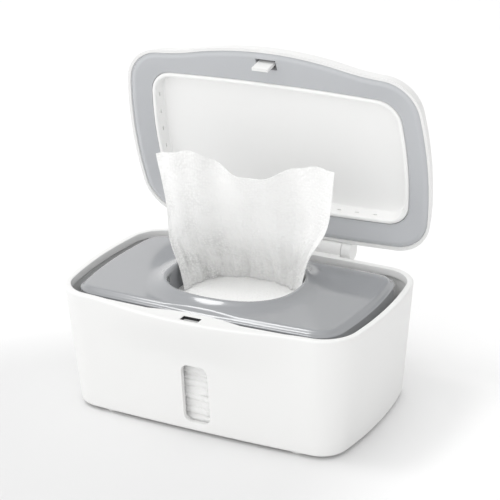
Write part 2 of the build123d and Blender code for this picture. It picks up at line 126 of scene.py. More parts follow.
def standFor(o, node, body, material):
    o.data.materials.clear()
    o.data.materials.append(material)
    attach(o, body)
    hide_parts(node)


# outlines of arcs, which the tub, the plate and its hole share

sideArc = 1780.0  # radius of the long sides, mm
endArc = 260.0  # radius of the short ends, mm


def arcParts(a, b, r, side, end):
    # centre of the corner arc and the two angles at which it touches the side arc and the end arc
    toX = a - end
    toY = side - b
    gap = np.hypot(toX, toY)
    along = (gap**2 + (side - r)**2 - (end - r)**2) / (2 * gap)
    across = np.sqrt((side - r)**2 - along**2)
    cx = (toX * along + toY * across) / gap
    cy = b - side + (toY * along - toX * across) / gap
    return cx, cy, np.arctan2(cy - b + side, cx), np.arctan2(cy, cx - a + end)


def quarterRing(a, b, r, near, steps, side=sideArc, end=endArc):
    # one quarter of each outline, from the middle of the rear to the right end
    a, b, r = [np.reshape(v, (-1, 1)) for v in (a, b, r)]
    cx, cy, start, stop = arcParts(a, b, r, side, end)
    sideX = cx + r * np.cos(start)
    part = [np.linspace(0, 1, n + 1)[1:] for n in steps]
    x = np.concatenate([near + 0 * a, near[-1] + (sideX - near[-1]) * part[0]], 1)
    y = b - side + np.sqrt(side**2 - x**2)
    turn = start + (stop - start) * part[1]
    last = stop * (1 - part[2])
    x = np.concatenate([x, cx + r * np.cos(turn), a - end + end * np.cos(last)], 1)
    y = np.concatenate([y, cy + r * np.sin(turn), end * np.sin(last)], 1)
    return np.stack([x, y], -1), sideX


def wholeRing(q):
    back = q * [1, -1]
    return np.concatenate([q, back[:, -2::-1], -q[:, 1:], -back[:, -2:0:-1]], 1)


def swellShare(x, sideX):
    # full in the middle of the front, and down to nothing where the side meets its corner
    turnX = sideX * tub["swellTurn"]
    far = np.clip(sideX - abs(x), 0, None)
    return np.where(abs(x) <= turnX, 1 - x**2 / (turnX * sideX), far**2 / ((sideX - turnX) * sideX))


def outlineRings(a, b, r, z, swell):
    # one ring for each height, the front pushed out by the swell
    z = np.reshape(z, (-1, 1))
    q, sideX = quarterRing(a, b, r, np.arange(0, 15.0), (28, 14, 14))
    ring = wholeRing(q)
    x, y = ring[..., 0], ring[..., 1]
    return np.stack([x, np.where(y < 0, y - swell * swellShare(x, sideX), y), z + 0 * x], -1)


def closeEnds(grid):
    # adds a point in the middle of the first and the last ring
    first, last = [np.broadcast_to(grid[i].mean(0), grid[i].shape) for i in (0, -1)]
    return np.concatenate([first[None], grid, last[None]])


def shrinkTo(grid, index, share):
    middle = grid[index].mean(0) * [0, 0, 1]
    return middle + (grid[index] - middle) * share


# the tub: one closed skin of rings, from the middle of its underside round the rim to the middle of its floor

tub = {
    "halfLength": 108.0, "halfWidth": 63.0, "height": 83.2,  # mm at the rim
    "endDraft": 6.0, "sideDraft": 2.6,  # degrees
    "corner": 26.0, "footCorner": 18.0, "foot": 2.0, "bottomRound": 2.0,
    "swell": 7.5, "swellLow": 49.2, "swellTurn": 0.68,
    "rimRound": 1.2, "rimWidth": 4.2, "landDrop": 0.8,
    "landHalf": 34.0, "landBulge": 4.6, "landLow": 67.2,
    "wall": 3.0, "floor": 4.6,
}


def sectionSize(z, inset):
    below = tub["height"] - z
    share = below / (tub["height"] - tub["foot"])
    a = tub["halfLength"] - below * np.tan(np.radians(tub["endDraft"])) - inset
    b = tub["halfWidth"] - below * np.tan(np.radians(tub["sideDraft"])) - inset
    return a, b, tub["corner"] - (tub["corner"] - tub["footCorner"]) * share - inset


def tubRings(rows):
    # each row is a height, the inset from the outline, the swell and the share of the land's bulge
    z, inset, swell, bulge = [v[:, None] for v in np.array(rows, float).T]
    grid = outlineRings(*sectionSize(z, inset), z, swell)
    x, y = grid[..., 0], grid[..., 1]
    # the land bulges inwards along one arc
    half, rise = tub["landHalf"], tub["landBulge"]
    radius = (half**2 + rise**2) / (2 * rise)
    land = rise - radius + np.sqrt(np.clip(radius**2 - x**2, 0, None)) - tub["halfWidth"] + tub["rimWidth"]
    inside = (abs(x) < half) & (y < 0)
    grid[..., 1] = np.where(inside, y + bulge * np.clip(land - y, 0, None), y)
    return grid


def swellAt(z):
    s = np.clip((z - tub["swellLow"]) / (tub["height"] - tub["swellLow"]), 0, 1)
    return tub["swell"] * s * s * (3 - 2 * s)


def tubRows():
    rows = []
    for turn in np.radians(np.linspace(0, 90, 9)):
        rise = tub["bottomRound"] * (1 - np.cos(turn))
        rows.append((tub["foot"] + rise, tub["bottomRound"] * (1 - np.sin(turn)), 0, 0))
    top = tub["height"] - tub["rimRound"]
    rows += [(z, 0, swellAt(z), 0) for z in (12, 20, 28, 36, 43, 49.2, *np.linspace(51, top, 20))]
    for turn in np.radians(np.linspace(15, 90, 6)):
        z = top + tub["rimRound"] * np.sin(turn)
        rows.append((z, tub["rimRound"] * (1 - np.cos(turn)), swellAt(z), 0))
    # over the rim and down its inner edge to the land
    high, w, full, thick = tub["height"], tub["rimWidth"], tub["swell"], tub["wall"]
    for drop, back, less in ((0, 0.7, 0), (0.07, 0.3, 0), (0.25, 0.06, 0), (0.45, 0, 0), (0.65, 0, 0.1),
                             (0.77, 0, 0.3)):
        rows.append((high - drop, w - back, full - less, 0))
    # across the land and over its inner edge
    land = high - tub["landDrop"]
    for drop, swell, bulge in ((0, full - 0.7, 0.02), (0, 5, 0.2), (0, 3, 0.45), (0, 1, 0.72), (0, 0, 0.9),
                               (0.07, 0, 0.97), (0.25, 0, 1), (0.6, 0, 1)):
        rows.append((land - drop, w, swell, bulge))
    # down the inside of the wall to the floor
    rows += [(80, w, 0, 1), (78.4, w, 0, 1), (77.2, thick, 0, 1), (72, thick, 0, 1),
             (tub["landLow"], thick, 0, 1), (tub["landLow"], thick, 0, 0)]
    rows += [(z, thick, 0, 0) for z in (60, 50, 40, 30, 20, 12, 7)]
    return rows + [(5.6, thick + 0.3, 0, 0), (4.9, thick + 1, 0, 0), (tub["floor"], thick + 2, 0, 0)]


def buildTub():
    grid = tubRings(tubRows())
    # the flat parts of the underside and the floor are scaled rings, since the outline can't shrink that far
    under = [shrinkTo(grid, 0, k) for k in (0.2, 0.5, 0.85)]
    inside = [shrinkTo(grid, -1, k) for k in (0.6, 0.25)]
    grid = closeEnds(np.concatenate([under, grid, inside]))
    return makePiece("tubShell", grid, gridFaces(*grid.shape[:2]))


def boxPoints(x, y, z):
    corners = ((x[0], y[0]), (x[1], y[0]), (x[1], y[1]), (x[0], y[1]))
    return np.array([[u, v, w] for w in z for u, v in corners])


blockFaces = np.array([(0, 1, 2, 3), (7, 6, 5, 4), (0, 4, 5, 1), (1, 5, 6, 2), (2, 6, 7, 3), (3, 7, 4, 0)])


def boxCutter(low, high):
    # a box, or a block whose sides lean where its two ends differ
    return makePiece("cutter", np.concatenate([low, high]), blockFaces)


window = {"halfWidth": 9.3, "low": 8.5, "high": 49.1, "corner": 5.0, "edge": 0.3}


def windowRing(grow):
    # rounded rectangle in x and z
    r = window["corner"] + grow
    half = np.array([window["halfWidth"], (window["high"] - window["low"]) / 2])
    turn = np.radians(np.linspace(0, 90, 10))
    arc = np.stack([np.cos(turn), np.sin(turn)], -1) * r + half - window["corner"]
    flat = np.linspace(1, 0, 12)[1:-1, None] * [0, 1] * arc[0] + [arc[0, 0], 0]
    quarter = np.concatenate([flat[::-1], arc])
    mirror = quarter * [-1, 1]
    ring = np.concatenate([quarter, mirror[::-1], -quarter, -mirror[::-1]])
    return ring + [0, (window["high"] + window["low"]) / 2]


def cutWindow(o):
    turn = np.radians(np.linspace(0, 90, 6))
    e = window["edge"]
    rounded = [(e * (1 - np.cos(t)), e * (1 - np.sin(t))) for t in turn]
    profile = [(-3, e + 1.4), (-0.05, e + 0.12)] + rounded + [(6, 0)]
    rows = []
    for depth, grow in profile:
        ring = windowRing(grow)
        x, z = ring.T
        wallY = -sectionSize(z, 0)[1] + sideArc - np.sqrt(sideArc**2 - x**2)
        rows.append(np.stack([x, wallY + depth, z], -1))
    grid = closeEnds(np.array(rows))
    cutBy(o, makePiece("cutter", grid, gridFaces(*grid.shape[:2])))


slotHole = {"halfLength": 6.3, "front": -65.5, "rear": -59.1, "low": 78.0, "top": 82.4, "edge": 0.35}
# the pocket's faces below its last height are painted near black, as painted shade
pocket = {"halfLength": 13.0, "front": -66.3, "rear": -56.2, "low": 68.0, "top": 80.0, "paintedShadeTop": 81.2}


def crossCut(s, z, grow=0):
    # the rectangle of a slot or a pocket at one height
    half = s["halfLength"] + grow
    return boxPoints((-half, half), (s["front"] - grow, s["rear"] + grow), (z,))


def cutSlot(o):
    s, p, e = slotHole, pocket, slotHole["edge"]
    mid = crossCut(s, s["top"] - e)
    cutBy(o, boxCutter(crossCut(p, p["low"]), crossCut(p, p["top"])))
    cutBy(o, boxCutter(crossCut(s, s["low"]), mid + [0, 0, 2]))
    cutBy(o, boxCutter(mid, crossCut(s, s["top"] + e, 2 * e)))


def paintPocketShade(o, material):
    # the faces down in the latch pocket take the last material, a near black that paints the pocket's deep
    # shade
    mesh = o.data
    mesh.materials.append(material)
    middle = np.zeros(len(mesh.polygons) * 3)
    mesh.polygons.foreach_get("center", middle)
    x, y, z = (middle.reshape(-1, 3) * 1000 + [0, originBack, 0]).T
    p, near = pocket, 0.1
    across = (abs(x) < p["halfLength"] + near) & (y > p["front"] - near) & (y < p["rear"] + near)
    inside = across & (z > p["low"] - near) & (z < p["paintedShadeTop"])
    mesh.polygons.foreach_set("material_index", inside.astype(int))


tubShell = buildTub()
cutWindow(tubShell)
cutSlot(tubShell)
print("tub shell:", len(tubShell.data.polygons), "faces")

# the plate's cover: rays run out from its hole, over the collar and the bevel and back underneath

plate = {
    "halfLength": 96.5, "halfWidth": 53.8, "corner": 16.0, "back": 1.2,
    "holeLength": 44.0, "holeWidth": 38.2, "holeCorner": 34.0, "holeArc": 70.0,
    "top": 83.2, "low": 71.2, "bevel": 5.0,
    "crest": 88.0, "saddle": 800.0, "slope": 15.0, "power": 1.9,
    "crown": 1.8, "round": 3.2, "roundDrop": 0.25,  # the round part of the collar
    "tilt": 0.5,  # degrees, its rear sinks a little into the soft wipes
    # distance from the hole and drop from the crest, up the inside of the collar
    "lip": [(0, 4.4), (0, 2.9), (0.1, 1.9), (0.35, 1.2), (0.75, 0.55), (1.25, 0.15)],
    # share of the bevel's width and drop from the top
    "bevelRows": [(0, 0.02), (0.12, 0.12), (0.25, 0.4), (0.4, 0.95), (0.52, 1.5), (0.64, 1.93), (0.75, 2.2),
                  (0.84, 2.42), (0.9, 2.58), (0.95, 2.77), (1, 3.1), (1, 5), (1, 12)],
    # distance inwards from the outline, then outwards from the hole, each with its height over the low edge
    "underOuter": [(2, 0), (2, 6.7), (7, 9.7)],
    "underHole": [(2, 9.7), (2, 0), (0, 0), (0, 8)],
}


def plateGap(x, y):
    # distance outside the plate's outline, negative inside
    p = plate
    x = abs(x)
    y = abs(y - p["back"])
    cx, cy, start, stop = arcParts(p["halfLength"], p["halfWidth"], p["corner"], sideArc, endArc)
    pastSide = np.hypot(x, y - p["halfWidth"] + sideArc) - sideArc
    pastEnd = np.hypot(x - p["halfLength"] + endArc, y) - endArc
    turn = np.arctan2(y - cy, x - cx)
    atCorner = (turn < start) & (turn > stop)
    return np.where(atCorner, np.hypot(x - cx, y - cy) - p["corner"], np.maximum(pastSide, pastEnd))


def rayAngles():
    # rays lie closer where the hole's outline turns and where they meet the plate's corners
    part = np.radians(np.concatenate([np.arange(0, 16, 2), np.arange(16, 42, 0.8), np.arange(42, 90.1, 1)]))
    return np.concatenate([part, np.pi - part[-2::-1], np.pi + part[1:], 2 * np.pi - part[-2:0:-1]])


def holeEdge(nx, ny):
    # where each ray leaves the hole's outline, which it does at a right angle
    a, b, r, arc = [plate[k] for k in ("holeLength", "holeWidth", "holeCorner", "holeArc")]
    cx, cy, start, stop = arcParts(a, b, r, arc, arc)
    turn = np.arctan2(abs(ny), abs(nx))
    middleX = np.select([turn > start, turn < stop], [0, a - arc], cx)
    middleY = np.select([turn > start, turn < stop], [b - arc, 0], cy)
    radius = np.where((turn > start) | (turn < stop), arc, r)
    return np.sign(nx) * middleX + radius * nx, np.sign(ny) * middleY + radius * ny


def rayReach(holeX, holeY, nx, ny):
    # length of each ray to the outline and to the top of the bevel
    reach = np.zeros((2, len(nx)))
    for step in range(90):
        reach = reach - plateGap(holeX + reach * nx, holeY + reach * ny) - np.array([[0], [plate["bevel"]]])
    return reach


def collarRise(d, outer):
    # the collar is round by the hole and falls off along a power curve
    p = plate
    share = np.clip((d - p["round"]) / (np.minimum(p["slope"], outer) - p["round"]), 0, 1)
    fall = (1 - share)**p["power"] * (p["crest"] - p["roundDrop"] - p["top"])
    crown = p["crest"] - p["top"] - p["roundDrop"] * ((d - p["crown"]) / (p["round"] - p["crown"]))**2
    return np.where(d < p["round"], crown, fall)


def plateRows(outer, flat):
    # distance from the hole and height of each row, over the top and back underneath
    p = plate
    d = [out + 0 * outer for out, drop in p["lip"]]
    z = [p["crest"] - drop + 0 * outer for out, drop in p["lip"]]
    near = [p["crown"], 2.5, p["round"], 4.0, 4.9, 5.8, 6.8, 7.8]
    far = [near[-1] + (flat - 0.4 - near[-1]) * t for t in np.linspace(0, 1, 14)[1:]]
    for step in near + far:
        d.append(step + 0 * outer)
        z.append(p["top"] + collarRise(d[-1], outer))
    for share, drop in p["bevelRows"]:
        d.append(flat + (outer - flat) * share)
        z.append(p["top"] - drop + collarRise(d[-1], outer))
    for inward, rise in p["underOuter"]:
        d.append(outer - inward)
        z.append(p["low"] + rise + 0 * outer)
    for outward, rise in p["underHole"]:
        d.append(outward + 0 * outer)
        z.append(p["low"] + rise + 0 * outer)
    return np.array(d), np.array(z)


def buildPlate():
    p = plate
    angle = rayAngles()
    nx, ny = np.cos(angle), np.sin(angle)
    holeX, holeY = holeEdge(nx, ny)
    d, z = plateRows(*rayReach(holeX, holeY, nx, ny))
    x, y = holeX + d * nx, holeY + d * ny
    # the raised part sags to both sides like a saddle, and the whole plate sinks a little at its rear
    raised = np.clip((z - p["top"]) / (p["crest"] - p["top"]), 0, 1)
    sag = raised * x**2 / (2 * p["saddle"])
    sink = (y - p["back"] + p["halfWidth"]) * np.tan(np.radians(p["tilt"]))
    grid = np.stack([x - plateLeft, y, z - sag - sink], -1)
    return makePiece("plateSkin", grid, gridFaces(*grid.shape[:2], loopRows=True), 28)


plateSkin = buildPlate()
print("plate skin:", len(plateSkin.data.polygons), "faces")

# folded wipes: a block of soft layers with uneven folds at its edges

stack = {
    "halfLength": 89.0, "halfWidth": 48.5, "corner": 7.0, "arc": 4000.0, "low": 4.7, "top": 69.1,
    "seams": (10.4, 15.0, 21.6, 25.6, 30.6, 35.5, 38.8, 44.6, 52.0, 57.0, 62.5),  # heights, mm
    "fold": 1.3, "wander": 0.8,
    "press": 6.4,  # how far the wipes lean out against the window's frame
}


def buildStack():
    s = stack
    edges = np.array([s["low"], *s["seams"], s["top"]])
    z, inset, layer = [], [], []
    for i, (low, high) in enumerate(zip(edges[:-1], edges[1:])):
        t = np.linspace(0, 1, 9)
        z.append(low + (high - low) * t)
        inset.append(s["fold"] * (2 * t - 1)**4 * min(1, (high - low) / 4))
        layer.append(i + 0 * t)
    z, inset, layer = [np.concatenate(v)[:, None] for v in (z, inset, layer)]
    a, b = s["halfLength"] - inset, s["halfWidth"] - inset
    q, sideX = quarterRing(a, b, s["corner"] - inset, np.arange(0, 15.0), (50, 8, 26), s["arc"], s["arc"])
    ring = wholeRing(q)
    x, y = ring[..., 0], ring[..., 1]
    along = np.arctan2(y, x)
    # each layer is pushed in and waves up and down by its own amount
    push = 0.5 * np.sin(2.4 * layer + 1) + 0.4 * np.sin(along * 3 + layer * 1.7) - 0.9
    wave = s["wander"] * np.sin(x / 11 + layer * 2.1) * np.sin(y / 9 + layer)
    edgeShare = np.clip(np.minimum(z - s["low"], s["top"] - z) / 3, 0, 1)
    size = 1 + push * 1.2 / np.hypot(x, y)
    press = s["press"] * np.exp(-(x / 30)**4) * (y < 0)
    grid = np.stack([x * size, y * size - press, z + wave * edgeShare], -1)
    top = [grid[-1] * [k, k, 1] for k in (0.96, 0.85, 0.65, 0.4, 0.2)]
    under = [grid[0] * [k, k, 1] for k in (0.3, 0.7)]
    grid = closeEnds(np.concatenate([under, grid, top]))
    return makePiece("foldedWipes", grid, gridFaces(*grid.shape[:2]), 60)


foldedWipes = buildStack()
print("folded wipes:", len(foldedWipes.data.polygons), "faces")

# the next wipe: a sheet that curls round the back of the hole at its foot and fans out above

wipe = {
    "cols": 230, "rows": 130, "thickness": 0.35,  # mm
    # guide lines from the foot to the top edge, each of x, y, z from left to right
    "foot": [(-39.6, -1, 69.6), (-38.2, 12, 69.6), (-33, 24, 69.6), (-22, 32.5, 69.6), (-8, 35.6, 69.6),
             (8, 35.2, 69.6), (20, 31.5, 69.6), (30.5, 24.5, 69.6), (39.0, 10.5, 69.6)],
    "low": [(-43.3, 0, 86), (-40, 10, 86), (-33, 20, 86), (-21, 27, 86), (-7, 30, 86),
            (9, 30.5, 86), (23, 28.5, 86), (33, 23.5, 86), (40.2, 14.5, 86)],
    "hip": [(-49.3, 0, 103), (-43, 6, 103), (-34, 12, 103), (-20, 17, 103), (-5, 20, 103),
            (12, 21, 103), (28, 20, 103), (39, 17, 103), (46.8, 13, 103)],
    "waist": [(-52, 0, 127), (-43, 3, 127), (-32, 6, 127), (-18, 9, 127), (-2, 12, 127),
              (14, 14, 127), (32, 15, 127), (49, 13, 127), (61, 10, 127)],
    "top": [(-58.5, 0, 160.8), (-43.1, 2, 165.1), (-30.3, 4, 165.5), (-16.7, 6, 158.5), (0.5, 7, 152.3),
            (17.3, 8, 153.5), (34.8, 9, 160.8), (50, 10, 165.3), (66, 10, 164.8)],
    "levels": [0, 0.17, 0.36, 0.6, 1.0],  # share of the height at which each guide lies
    "footPleats": 9.0, "topPleats": 2.6, "footDepth": 1.9, "topDepth": 2.2, "crinkle": 0.12,
    # each V shaped fold's place at the foot, lean, width and depth
    "folds": [(0.30, 0.10, 0.035, 2.2), (0.46, 0.2, 0.03, 1.2), (0.8, -0.06, 0.025, 0.8)],
    "flatWidth": 140.0, "flatHeight": 105.0,  # of the cloth pattern, mm
}


def smoothThrough(points, t):
    # values at t of a smooth line through the points, which are evenly spaced from 0 to 1
    p = np.array(points, float)
    n = len(p) - 1
    slope = np.gradient(p, axis=0)
    i = np.clip((t * n).astype(int), 0, n - 1)
    f = (t * n - i)[:, None]
    if p.ndim > 2:
        f = f[..., None]
    h = f * f * (3 - 2 * f)
    a = f * (1 - f)**2
    b = f * f * (f - 1)
    return p[i] * (1 - h) + p[i + 1] * h + slope[i] * a + slope[i + 1] * b


def wipeSurface(u, v):
    # one smooth line up each column, through the five guides
    guides = np.array([smoothThrough(wipe[k], u) for k in ("foot", "low", "hip", "waist", "top")])
    level = np.interp(v, wipe["levels"], np.linspace(0, 1, 5))
    return smoothThrough(guides, level)


def pleatDepth(right, up):
    # tight pleats at the gathered foot die out upwards, and broad ones grow above them
    w = wipe
    fine = 0.4 * np.sin(2 * np.pi * 21 * right + 2)
    tight = np.sin(2 * np.pi * (w["footPleats"] * right + 0.35 * np.sin(5 * right + 1))) + fine
    side = 0.45 * np.sin(2 * np.pi * 5.3 * right + 2 * up)
    broad = np.sin(2 * np.pi * (w["topPleats"] * right + 0.12) + 1.1 * up) + side
    fade = np.exp(-(up / 0.3)**2) * np.clip(0.35 + up / 0.1, 0, 1)
    rise = np.clip(up / 0.5, 0, 1)
    crossed = np.sin(190 * right + 14 * np.sin(9 * up)) * np.sin(60 * up + 5 * np.sin(30 * right))
    edge = np.clip(np.minimum(right, 1 - right) / 0.05, 0, 1)
    return w["footDepth"] * tight * fade * edge + w["topDepth"] * broad * rise + w["crinkle"] * crossed


def foldDepth(right, up):
    # V shaped folds run up from the foot and widen as they die out
    depth = 0 * right
    for at, lean, width, size in wipe["folds"]:
        line = (right - at - lean * up) / (width * (0.4 + 1.6 * up))
        depth += size * np.exp(-line**2) * np.exp(-(up / 0.42)**2)
    return depth


def buildWipe():
    # the middle surface of the sheet, and each point's place on the flat cloth
    w = wipe
    u, v = np.linspace(0, 1, w["cols"]), np.linspace(0, 1, w["rows"])
    grid = wipeSurface(u, v)
    right, up = np.meshgrid(u, v)
    across = np.gradient(grid, axis=1)
    normal = np.stack([-across[..., 1], across[..., 0], 0 * right], -1)
    normal /= np.linalg.norm(normal, axis=-1, keepdims=True)
    grid = grid + normal * (pleatDepth(right, up) + foldDepth(right, up))[..., None]
    grid[..., 2] += 0.4 * np.sin(37 * right) * np.clip(up * 3 - 2, 0, 1)
    return grid, np.stack([right * w["flatWidth"], up * w["flatHeight"]], -1)


def closedSheet(grid, thickness):
    # front and back skins joined round the edge, so that the sheet is one closed piece
    dx, dy = np.gradient(grid, axis=1), np.gradient(grid, axis=0)
    normal = np.cross(dx, dy)
    normal /= np.linalg.norm(normal, axis=-1, keepdims=True)
    rows, cols = grid.shape[:2]
    index = np.arange(rows * cols).reshape(rows, cols)
    front = gridFaces(rows, cols, loopCols=False)
    rim = np.concatenate([index[0, :-1], index[:-1, -1], index[-1, :0:-1], index[:0:-1, 0]])
    after = np.roll(rim, -1)
    sides = np.stack([rim, after, after + rows * cols, rim + rows * cols], -1)
    points = np.concatenate([grid + normal * thickness / 2, grid - normal * thickness / 2])
    return points, np.concatenate([front, front[:, ::-1] + rows * cols, sides])


def addClothMap(o, inMm):
    # both skins take the same place on the flat cloth, in metres
    layer = o.data.uv_layers.new(name="clothMm")
    corner = np.zeros(len(o.data.loops), int)
    o.data.loops.foreach_get("vertex_index", corner)
    flatMm = np.tile(inMm.reshape(-1, 2), (2, 1))
    layer.data.foreach_set("uv", (flatMm[corner] / 1000).ravel())


wipeGrid, wipeMm = buildWipe()
topWipe = makePiece("nextWipe", *closedSheet(wipeGrid, wipe["thickness"]), 80)
addClothMap(topWipe, wipeMm)

# the lid's seal and liner are drawn shut and turned open; its shell is the CAD mesh, shaded smooth

lid = {
    "halfLength": 109.6, "halfWidth": 64.6, "corner": 27.6, "low": 83.6, "draft": 16.0,  # mm and degrees
    "hingeY": 70.2, "hingeZ": 85.0, "open": 80.0,
}
seal = {
    "low": 83.5, "crown": 1.2, "inset": 2.03, "band": 5.6, "step": 87.6, "inner": 86.9, "top": 89.1,
    "gap": 0.35,  # from the liner's outline
}
liner = {
    "halfLength": 92.6, "halfWidth": 46.8, "corner": 17.0, "low": 86.0, "ledge": 89.4, "floor": 94.4,
    "back": 96.0, "bead": 3.0, "beadRound": 1.25, "slope": 1.4, "wall": 1.6, "floorRound": 1.1,
    "tickStep": 13.0, "tick": (1.0, 3.0, 0.9),  # depth, length and height of the small marks in the wall
}


def turnOpen(points):
    turn = np.radians(lid["open"])
    y, z = points[..., 1] - lid["hingeY"], points[..., 2] - lid["hingeZ"]
    y, z = y * np.cos(turn) + z * np.sin(turn), z * np.cos(turn) - y * np.sin(turn)
    return np.stack([points[..., 0], y + lid["hingeY"], z + lid["hingeZ"]], -1)


def sealOuter(rows):
    # the lid leans in with its draft, and its front swells as the tub's rim does
    z, inset = np.array(rows, float).T
    more = inset + (z - lid["low"]) * np.tan(np.radians(lid["draft"]))
    a, b, r = lid["halfLength"] - more, lid["halfWidth"] - more, lid["corner"] - inset
    return outlineRings(a, b, r, z, tub["swell"])


def linerRings(rows):
    z, inset = np.array(rows, float).T
    size = [liner[k] - inset for k in ("halfLength", "halfWidth", "corner")]
    return outlineRings(*size, z, 0)


def buildSeal():
    s = seal
    rows = [(s["top"], s["inset"]), (s["step"], s["inset"])]
    rows += [(s["low"] + s["crown"] * (1 - k)**2, s["inset"] + (s["band"] - s["inset"]) * k)
             for k in np.linspace(0, 1, 9)]
    outer = sealOuter(rows)
    inner = linerRings([(s["inner"], -s["gap"]), (s["top"], -s["gap"])])
    # the dish runs from the band to the inner edge and bends softly where it leaves the band
    share = np.array([0.04, 0.1, 0.2, 0.4, 0.6, 0.8, 0.95])[:, None, None]
    fall = np.clip(share * 1.03 - 0.03, 0, 1)
    dish = outer[-1] + (inner[0] - outer[-1]) * np.concatenate([share + 0 * fall, share, fall], -1)
    back = outer[0] + (inner[1] - outer[0]) * np.array([0.7, 0.3])[:, None, None]
    grid = turnOpen(np.concatenate([outer, dish, inner, back]))
    return makePiece("lidSeal", grid, gridFaces(*grid.shape[:2], loopRows=True), 40)


def buildLiner():
    n = liner
    r, f = n["beadRound"], n["floorRound"]
    turn = np.radians(np.linspace(0, 90, 7))
    behind = n["bead"] - n["wall"]
    rows = [(n["back"], behind + n["slope"]), (n["ledge"], behind), (n["ledge"], 0)]
    rows += [(n["low"] + r * (1 - np.sin(t)), r * (1 - np.cos(t))) for t in turn]
    rows += [(n["low"] + r * (1 - np.cos(t)), n["bead"] - r * (1 - np.sin(t))) for t in turn]
    depth = n["floor"] - n["low"] - f
    rows += [(n["low"] + r + (depth - r) * k, n["bead"] + n["slope"] * k) for k in (0.3, 0.65)]
    rows += [(n["floor"] - f * (1 - np.sin(t)), n["bead"] + n["slope"] + f * (1 - np.cos(t))) for t in turn]
    grid = linerRings(rows)
    flat = [shrinkTo(grid, -1, k) for k in (0.97, 0.85, 0.6, 0.3)]
    rear = [shrinkTo(grid, 0, k) for k in (0.4, 0.8)]
    grid = turnOpen(closeEnds(np.concatenate([rear, grid, flat])))
    return makePiece("lidPanel", grid, gridFaces(*grid.shape[:2]), 40)


def cutTicks(o):
    # short marks along both ends and both long sides of the liner's wall, cut as one set of small boxes
    n = liner
    deep, long, high = n["tick"]
    middle = n["bead"] + n["slope"] / 2
    step = n["tickStep"]
    ends = [(sign * (n["halfLength"] - middle - endArc + np.sqrt(endArc**2 - (k * step)**2)), k * step, 0)
            for sign in (-1, 1) for k in range(-2, 3)]
    sides = [(k * step, sign * (n["halfWidth"] - middle - sideArc + np.sqrt(sideArc**2 - (k * step)**2)), 1)
             for sign in (-1, 1) for k in range(-5, 6)]
    z = (n["floor"] + n["low"]) / 2
    blocks = []
    for x, y, across in ends + sides:
        halfX, halfY = (long / 2, deep) if across else (deep, long / 2)
        low, top = [boxPoints((x - halfX, x + halfX), (y - halfY, y + halfY), (level,))
                    for level in (z - high / 2, z + high / 2)]
        blocks.append(np.concatenate([low, top]))
    faces = np.concatenate([blockFaces + 8 * k for k in range(len(blocks))])
    cutBy(o, makePiece("cutter", turnOpen(np.array(blocks)), faces))


hookHole = {"halfLength": 7.2, "front": -65.5, "rear": -58.1, "low": 80.0, "top": 92.0}


def cutHookHole(o):
    # the hole in the seal that the latch hook comes through
    ends = [turnOpen(crossCut(hookHole, hookHole[k])) for k in ("low", "top")]
    cutBy(o, boxCutter(*ends))


def smoothCopy(node, name, sharp):
    source = frame["nodes"][node]
    mesh = source.data.copy()
    mesh.transform(source.matrix_world)
    return linkMesh(name, mesh, sharp)


lidSkin = smoothCopy("lid_shell", "lidSkin", 24)
lidSeal = buildSeal()
cutHookHole(lidSeal)
lidPanel = buildLiner()
cutTicks(lidPanel)
print("lid skins:", len(lidSkin.data.polygons), len(lidSeal.data.polygons), len(lidPanel.data.polygons))

# materials


def addGrain(tree, shader, perMetre, depth, roughness, swing):
    # fine moulded grain: a faint bump, and gloss that varies a little from place to place
    place = addNode(tree, "ShaderNodeTexCoord")
    fine = addNode(tree, "ShaderNodeTexNoise", {}, {"Vector": place.outputs["Object"]},
                   {"Scale": perMetre, "Detail": 3.0})
    bump = addNode(tree, "ShaderNodeBump", {}, {"Height": fine.outputs["Fac"]},
                   {"Strength": 0.5, "Distance": depth})
    wide = addNode(tree, "ShaderNodeTexNoise", {}, {"Vector": place.outputs["Object"]}, {"Scale": 35.0})
    gloss = addNode(tree, "ShaderNodeMapRange", {}, {"Value": wide.outputs["Fac"]},
                    {"To Min": roughness - swing, "To Max": roughness + swing})
    tree.links.new(bump.outputs["Normal"], shader.inputs["Normal"])
    tree.links.new(gloss.outputs[0], shader.inputs["Roughness"])


def plasticMaterial(name, colour, roughness, perMetre=1600.0, depth=0.00003, swing=0.05, polish=0.0):
    m, tree, shader = newMaterial(name, colour, roughness)
    shader.inputs["Specular IOR Level"].default_value = 0.5 if polish else 0.35
    shader.inputs["Coat Weight"].default_value = polish
    shader.inputs["Coat Roughness"].default_value = 0.06
    addGrain(tree, shader, perMetre, depth, roughness, swing)
    return m


